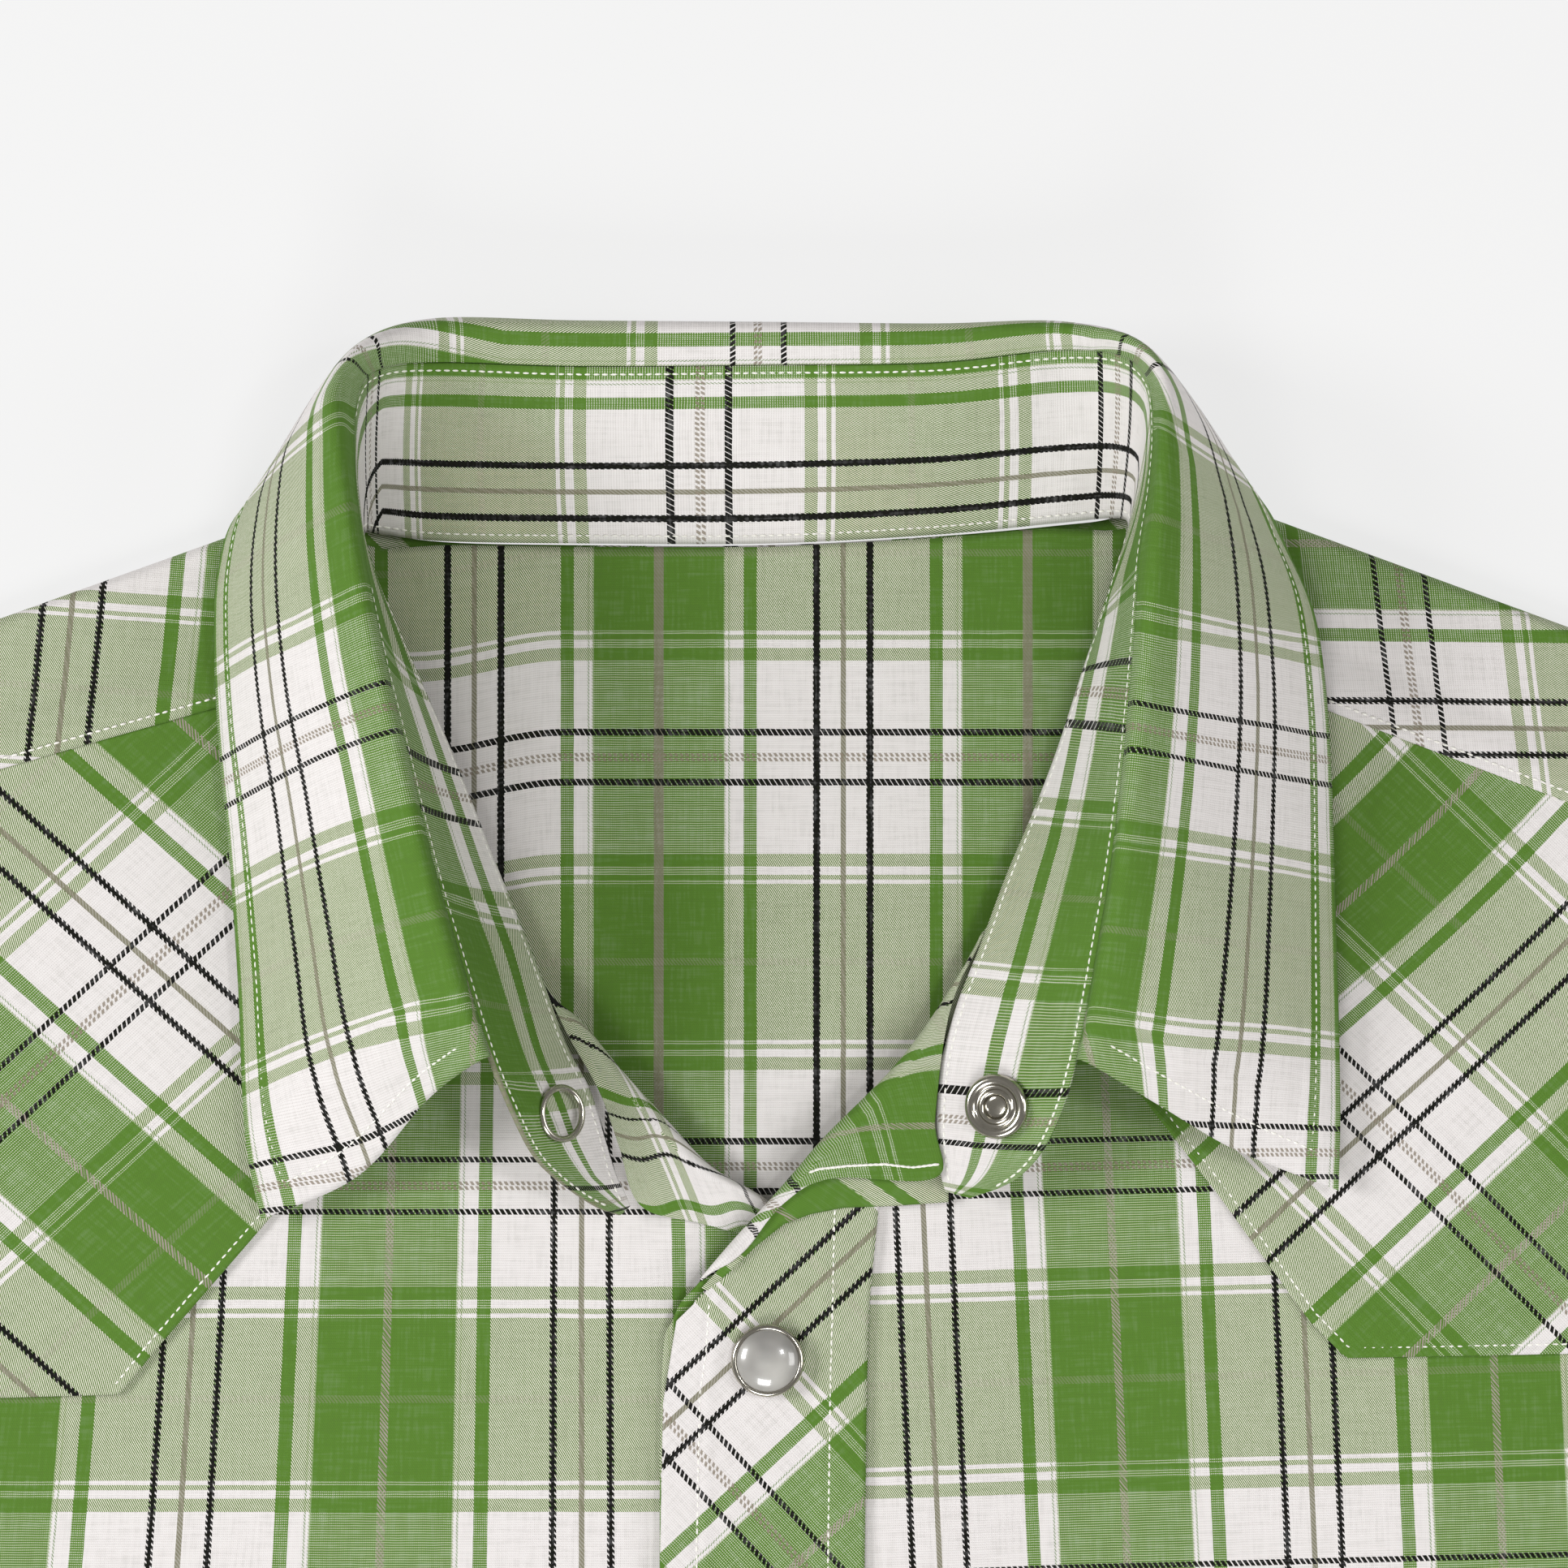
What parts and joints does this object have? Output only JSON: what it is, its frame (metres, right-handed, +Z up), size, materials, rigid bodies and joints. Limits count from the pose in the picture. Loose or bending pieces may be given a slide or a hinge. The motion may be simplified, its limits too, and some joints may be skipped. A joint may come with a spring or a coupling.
{
  "type": "western snap shirt",
  "caption": "Short-sleeved plaid western shirt laid flat, collar open, with pointed yokes cut on the bias, a snap placket and a curved shirttail hem.",
  "frame": {"origin": "middle of the underside, on the surface the shirt lies on", "axes": "+Z up through the thickness of the laid shirt, +Y from the hem towards the collar, +X from the wearer's right sleeve to the left one"},
  "size_m": [0.8446, 0.7906, 0.0444],
  "materials": {
    "plaid_cloth": "light woven cotton plaid in green, white and black",
    "snap_pearl": "pearl domes in thin silver rims",
    "snap_metal": "bright nickel"
  },
  "bodies": {
    "root": {"back": "plaid_cloth", "back_yoke": "plaid_cloth", "front_right": "plaid_cloth", "front_left": "plaid_cloth", "front_yoke_right": "plaid_cloth", "front_yoke_left": "plaid_cloth", "placket": "plaid_cloth", "collar_band": "plaid_cloth", "collar_leaf": "plaid_cloth", "sleeve_right": "plaid_cloth", "sleeve_left": "plaid_cloth", "snap_cap_1": "snap_pearl", "snap_cap_2": "snap_pearl", "snap_cap_3": "snap_pearl", "snap_cap_4": "snap_pearl", "snap_cap_5": "snap_pearl", "snap_cap_6": "snap_pearl", "snap_cap_7": "snap_pearl", "snap_ring": "snap_metal", "snap_socket": "snap_metal"}
  },
  "joints": []
}
